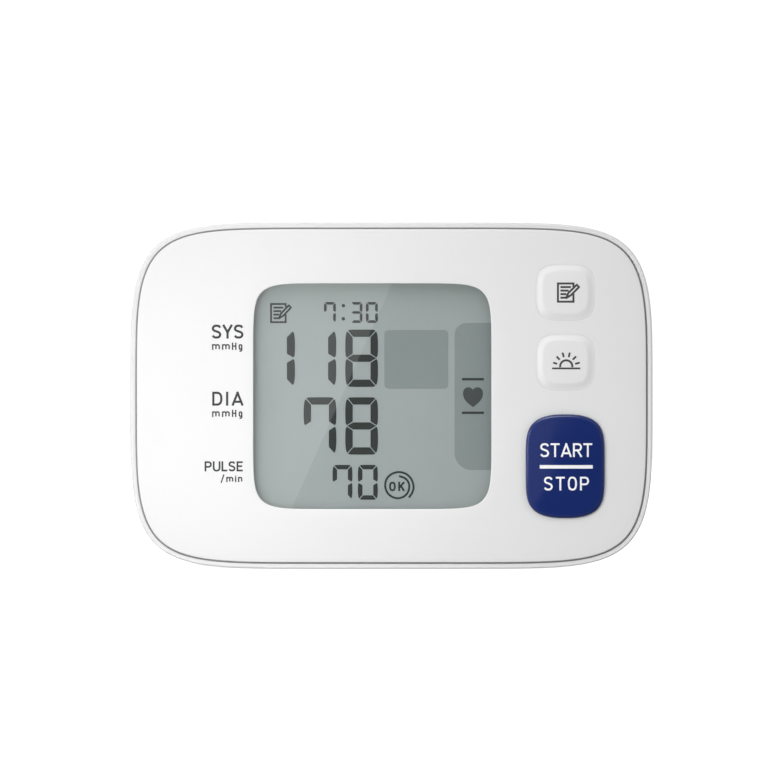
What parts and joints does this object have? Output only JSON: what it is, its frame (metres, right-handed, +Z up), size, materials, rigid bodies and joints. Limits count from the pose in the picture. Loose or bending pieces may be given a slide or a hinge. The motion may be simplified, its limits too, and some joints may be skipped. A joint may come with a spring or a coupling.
{
  "type": "wrist blood pressure monitor",
  "caption": "Flat rounded case with a square display, soft-edged keys and an oval start button, on a padded ring-shaped wrist cuff with a hook-and-loop strap.",
  "frame": {"origin": "middle of the bounding box's base, on the surface that the monitor stands on", "axes": "+X to the right across the display, which looks along -Y; +Y back through the cuff; +Z up"},
  "size_m": [0.0914, 0.0762, 0.0606],
  "materials": {
    "case_white": "fine satin white",
    "clear_window": "clear polished",
    "display_glass": "grey-green display",
    "grey_plastic": "satin grey",
    "contact_rubber": "matt",
    "circuit_board": "solder mask",
    "button_blue": "polished navy blue",
    "black_plastic": "satin",
    "steel": "nickel plated",
    "cell_jacket": "printed film",
    "silicone": "translucent matt",
    "lead_red": "wire jacket",
    "lead_black": "wire jacket",
    "cuff_cloth": "brushed loop fabric",
    "lining_cloth": "fine nylon weave",
    "hook_nylon": "hook tape",
    "bladder_film": "welded film"
  },
  "bodies": {
    "monitor": {"front_cover": "case_white", "rear_cover": "case_white", "window_lens": "clear_window", "lcd_panel": "display_glass", "lcd_holder": "grey_plastic", "zebra_strip_upper": "contact_rubber", "zebra_strip_lower": "contact_rubber", "main_board": "circuit_board", "main_chip": "black_plastic", "pressure_sensor": "black_plastic", "filter_capacitor": "black_plastic", "start_stop_switch_base": "black_plastic", "memory_switch_base": "black_plastic", "morning_switch_base": "black_plastic", "battery_cell_1": "cell_jacket", "battery_cell_2": "cell_jacket", "contact_positive": "steel", "contact_negative": "steel", "contact_bridge": "steel", "contact_spring_1": "steel", "contact_spring_2": "steel", "pump_motor": "steel", "pump_head": "black_plastic", "release_valve": "grey_plastic", "air_manifold": "grey_plastic", "pump_hose": "silicone", "valve_hose": "silicone", "sensor_hose": "silicone", "motor_lead_positive": "lead_red", "motor_lead_negative": "lead_black", "valve_lead_positive": "lead_red", "valve_lead_negative": "lead_black", "case_screw_1": "steel", "case_screw_2": "steel", "case_screw_3": "steel", "case_screw_4": "steel", "bracket_screw_1": "steel", "bracket_screw_2": "steel", "bracket_screw_3": "steel", "bracket_screw_4": "steel", "cuff_bracket": "case_white", "cuff_cover": "cuff_cloth", "cuff_curler": "grey_plastic", "air_bladder": "bladder_film", "cuff_lining": "lining_cloth", "strap_root": "cuff_cloth"},
    "start_stop_button": {"start_stop_button": "button_blue"},
    "start_stop_stem": {"start_stop_switch_stem": "steel"},
    "memory_button": {"memory_button": "case_white"},
    "memory_stem": {"memory_switch_stem": "steel"},
    "morning_button": {"morning_button": "case_white"},
    "morning_stem": {"morning_switch_stem": "steel"},
    "pump_shaft": {"pump_shaft": "steel"},
    "valve_plunger": {"valve_plunger": "steel"},
    "battery_cover": {"battery_cover": "case_white"},
    "strap": {"cuff_strap": "cuff_cloth", "hook_pad": "hook_nylon", "strap_tab": "grey_plastic"}
  },
  "joints": [
    {"name": "start_stop_press", "type": "slide", "parent": "monitor", "child": "start_stop_button", "axis": [0, 1, 0], "range_m": [0, 0.00035], "stiffness_N_per_m": 4000},
    {"name": "start_stop_stem_travel", "type": "slide", "parent": "monitor", "child": "start_stop_stem", "axis": [0, 1, 0], "range_m": [0, 0.00035]},
    {"name": "memory_press", "type": "slide", "parent": "monitor", "child": "memory_button", "axis": [0, 1, 0], "range_m": [0, 0.00035], "stiffness_N_per_m": 4000},
    {"name": "memory_stem_travel", "type": "slide", "parent": "monitor", "child": "memory_stem", "axis": [0, 1, 0], "range_m": [0, 0.00035]},
    {"name": "morning_press", "type": "slide", "parent": "monitor", "child": "morning_button", "axis": [0, 1, 0], "range_m": [0, 0.00035], "stiffness_N_per_m": 4000},
    {"name": "morning_stem_travel", "type": "slide", "parent": "monitor", "child": "morning_stem", "axis": [0, 1, 0], "range_m": [0, 0.00035]},
    {"name": "pump_spin", "type": "hinge", "parent": "monitor", "child": "pump_shaft", "pos_m": [-0.03, -0.02275, 0.0413], "axis": [1, 0, 0], "continuous": true},
    {"name": "valve_stroke", "type": "slide", "parent": "monitor", "child": "valve_plunger", "axis": [1, 0, 0], "range_m": [0, 0.0006], "stiffness_N_per_m": 500},
    {"name": "cover_slide", "type": "slide", "parent": "monitor", "child": "battery_cover", "axis": [1, 0, 0], "range_m": [0, 0.03]},
    {"name": "strap_swing", "type": "hinge", "parent": "monitor", "child": "strap", "pos_m": [-0.0138, 0.03635, 0.01589], "axis": [-1, 0, 0], "range_deg": [0, 95]}
  ],
  "couplings": [
    {"joint": "start_stop_stem_travel", "follows": "start_stop_press", "ratio": 1},
    {"joint": "memory_stem_travel", "follows": "memory_press", "ratio": 1},
    {"joint": "morning_stem_travel", "follows": "morning_press", "ratio": 1}
  ]
}
